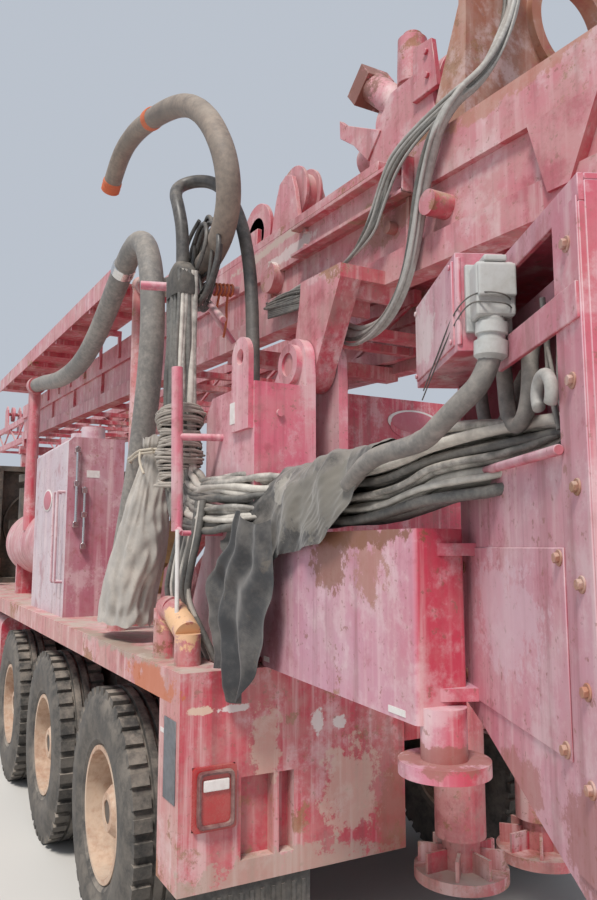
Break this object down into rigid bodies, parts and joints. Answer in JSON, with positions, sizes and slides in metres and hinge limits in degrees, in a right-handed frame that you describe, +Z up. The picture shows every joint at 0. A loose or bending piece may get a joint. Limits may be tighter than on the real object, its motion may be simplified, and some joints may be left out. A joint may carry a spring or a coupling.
{
  "type": "truck-mounted drilling rig",
  "caption": "Truck-mounted drilling rig with a telescoping mast lowered over the carrier, a swinging driller console, levelling jacks and a low cab.",
  "frame": {"origin": "ground under the middle of the rig's length and width", "axes": "+X forward, +Y to the left of the vehicle, +Z up"},
  "size_m": [14.2314, 2.56, 4.2283],
  "materials": {
    "red_paint": "faded and chalked, rust at the edges",
    "rusty_steel": "rusted",
    "dark_metal": "greasy dark paint",
    "engine_paint": "dusty",
    "tyre": "dusty",
    "rubber": "dusty",
    "hose": "greyed",
    "cable": "pale grey sheath",
    "black_cloth": "dusty",
    "grey_tarp": "coarse, dusty",
    "lamp": "red lens",
    "glass": "clear",
    "seat_fabric": "woven",
    "dark_plastic": "grained",
    "chrome": "plated"
  },
  "bodies": {
    "root": {"air_receiver": "red_paint", "big_hose_loop": "hose", "big_hose_riser": "hose", "black_hose": "rubber", "cab_controls": "dark_plastic", "cab_glass": "glass", "cab_seats": "seat_fabric", "cab_shell": "red_paint", "chassis_frame": "red_paint", "compressor": "engine_paint", "cooling_pack": "dark_metal", "deck": "red_paint", "engine": "engine_paint", "front_axles": "dark_metal", "front_bumper": "red_paint", "grey_tarp": "grey_tarp", "hose_bundle": "hose", "hydraulic_cabinet": "red_paint", "intake_and_exhaust": "dark_metal", "lamps": "lamp", "mast_columns": "red_paint", "mast_rest": "red_paint", "mud_flaps": "rubber", "rear_axles": "dark_metal", "rear_body": "red_paint", "right_cabinet": "red_paint", "side_tanks": "red_paint"},
    "mast": {"mast_lower": "red_paint", "work_table": "rusty_steel", "mast_cable": "cable"},
    "mast_upper": {"mast_upper": "red_paint"},
    "head": {"top_head": "red_paint"},
    "lift_barrels": {"lift_barrels": "red_paint"},
    "lift_rods": {"lift_rods": "chrome"},
    "arm": {"console_arm": "red_paint", "console_cabinet": "red_paint", "arm_bundle": "hose", "arm_cover": "black_cloth"},
    "jack_rear_left": {"jack_rear_left": "red_paint"},
    "jack_rear_right": {"jack_rear_right": "red_paint"},
    "jack_front_left": {"jack_front_left": "red_paint"},
    "jack_front_right": {"jack_front_right": "red_paint"},
    "wheel_rear_1_left": {"wheel_rear_1_left": "tyre"},
    "wheel_rear_1_right": {"wheel_rear_1_right": "tyre"},
    "wheel_rear_2_left": {"wheel_rear_2_left": "tyre"},
    "wheel_rear_2_right": {"wheel_rear_2_right": "tyre"},
    "wheel_rear_3_left": {"wheel_rear_3_left": "tyre"},
    "wheel_rear_3_right": {"wheel_rear_3_right": "tyre"},
    "knuckle_2_left": {"knuckle_2_left": "dark_metal"},
    "wheel_front_2_left": {"wheel_front_2_left": "tyre"},
    "knuckle_2_right": {"knuckle_2_right": "dark_metal"},
    "wheel_front_2_right": {"wheel_front_2_right": "tyre"},
    "knuckle_1_left": {"knuckle_1_left": "dark_metal"},
    "wheel_front_1_left": {"wheel_front_1_left": "tyre"},
    "knuckle_1_right": {"knuckle_1_right": "dark_metal"},
    "wheel_front_1_right": {"wheel_front_1_right": "tyre"},
    "door_left": {"door_left": "red_paint", "door_glass_left": "glass"},
    "door_right": {"door_right": "red_paint", "door_glass_right": "glass"}
  },
  "joints": [
    {"name": "mast_tilt", "type": "hinge", "parent": "root", "child": "mast", "pos_m": [-5.04809, 0, 2.4], "axis": [0, -1, 0], "range_deg": [0, 87]},
    {"name": "mast_extend", "type": "slide", "parent": "mast", "child": "mast_upper", "axis": [0.9985, 0, 0.0541], "range_m": [0, 5]},
    {"name": "head_feed", "type": "slide", "parent": "mast", "child": "head", "axis": [0.9985, 0, 0.0541], "range_m": [0, 6]},
    {"name": "lift_barrel_swing", "type": "hinge", "parent": "root", "child": "lift_barrels", "pos_m": [-1.67809, 0, 1.5], "axis": [0, 1, 0], "range_deg": [0, 3.2]},
    {"name": "lift_stroke", "type": "slide", "parent": "lift_barrels", "child": "lift_rods", "axis": [-0.877, 0, 0.4804], "range_m": [0, 1.8]},
    {"name": "arm_swing", "type": "hinge", "parent": "root", "child": "arm", "pos_m": [-5.01809, 0.906, 1.5], "axis": [0, 0, -1], "range_deg": [0, 70]},
    {"name": "jack_rear_left_stroke", "type": "slide", "parent": "root", "child": "jack_rear_left", "axis": [0, 0, -1], "range_m": [0, 0.425]},
    {"name": "jack_rear_right_stroke", "type": "slide", "parent": "root", "child": "jack_rear_right", "axis": [0, 0, -1], "range_m": [0, 0.425]},
    {"name": "jack_front_left_stroke", "type": "slide", "parent": "root", "child": "jack_front_left", "axis": [0, 0, -1], "range_m": [0, 0.425]},
    {"name": "jack_front_right_stroke", "type": "slide", "parent": "root", "child": "jack_front_right", "axis": [0, 0, -1], "range_m": [0, 0.425]},
    {"name": "wheel_rear_1_left_spin", "type": "hinge", "parent": "root", "child": "wheel_rear_1_left", "pos_m": [-4.01809, 0.96, 0.54], "axis": [0, 1, 0], "continuous": true},
    {"name": "wheel_rear_1_right_spin", "type": "hinge", "parent": "root", "child": "wheel_rear_1_right", "pos_m": [-4.01809, -0.96, 0.54], "axis": [0, 1, 0], "continuous": true},
    {"name": "wheel_rear_2_left_spin", "type": "hinge", "parent": "root", "child": "wheel_rear_2_left", "pos_m": [-2.64809, 0.96, 0.54], "axis": [0, 1, 0], "continuous": true},
    {"name": "wheel_rear_2_right_spin", "type": "hinge", "parent": "root", "child": "wheel_rear_2_right", "pos_m": [-2.64809, -0.96, 0.54], "axis": [0, 1, 0], "continuous": true},
    {"name": "wheel_rear_3_left_spin", "type": "hinge", "parent": "root", "child": "wheel_rear_3_left", "pos_m": [-1.27809, 0.96, 0.54], "axis": [0, 1, 0], "continuous": true},
    {"name": "wheel_rear_3_right_spin", "type": "hinge", "parent": "root", "child": "wheel_rear_3_right", "pos_m": [-1.27809, -0.96, 0.54], "axis": [0, 1, 0], "continuous": true},
    {"name": "steer_2_left", "type": "hinge", "parent": "root", "child": "knuckle_2_left", "pos_m": [4.27191, 0.89, 0.54], "axis": [0, 0, 1], "range_deg": [-30, 30]},
    {"name": "wheel_front_2_left_spin", "type": "hinge", "parent": "knuckle_2_left", "child": "wheel_front_2_left", "pos_m": [4.27191, 1.13, 0.54], "axis": [0, 1, 0], "continuous": true},
    {"name": "steer_2_right", "type": "hinge", "parent": "root", "child": "knuckle_2_right", "pos_m": [4.27191, -0.89, 0.54], "axis": [0, 0, 1], "range_deg": [-30, 30]},
    {"name": "wheel_front_2_right_spin", "type": "hinge", "parent": "knuckle_2_right", "child": "wheel_front_2_right", "pos_m": [4.27191, -1.13, 0.54], "axis": [0, 1, 0], "continuous": true},
    {"name": "steer_1_left", "type": "hinge", "parent": "root", "child": "knuckle_1_left", "pos_m": [2.82191, 0.89, 0.54], "axis": [0, 0, 1], "range_deg": [-24, 24]},
    {"name": "wheel_front_1_left_spin", "type": "hinge", "parent": "knuckle_1_left", "child": "wheel_front_1_left", "pos_m": [2.82191, 1.13, 0.54], "axis": [0, 1, 0], "continuous": true},
    {"name": "steer_1_right", "type": "hinge", "parent": "root", "child": "knuckle_1_right", "pos_m": [2.82191, -0.89, 0.54], "axis": [0, 0, 1], "range_deg": [-24, 24]},
    {"name": "wheel_front_1_right_spin", "type": "hinge", "parent": "knuckle_1_right", "child": "wheel_front_1_right", "pos_m": [2.82191, -1.13, 0.54], "axis": [0, 1, 0], "continuous": true},
    {"name": "door_left_hinge", "type": "hinge", "parent": "root", "child": "door_left", "pos_m": [6.25191, 1.258, 1.5], "axis": [0, 0, -1], "range_deg": [0, 70]},
    {"name": "door_right_hinge", "type": "hinge", "parent": "root", "child": "door_right", "pos_m": [6.25191, -1.258, 1.5], "axis": [0, 0, 1], "range_deg": [0, 70]}
  ],
  "couplings": [
    {"joint": "lift_barrel_swing", "follows": "mast_tilt", "ratio": 0.035922},
    {"joint": "lift_stroke", "follows": "mast_tilt", "m_per_rad": 1.1833},
    {"joint": "steer_2_right", "follows": "steer_2_left", "ratio": 1},
    {"joint": "steer_1_left", "follows": "steer_2_left", "ratio": 0.8},
    {"joint": "steer_1_right", "follows": "steer_2_left", "ratio": 0.8}
  ]
}
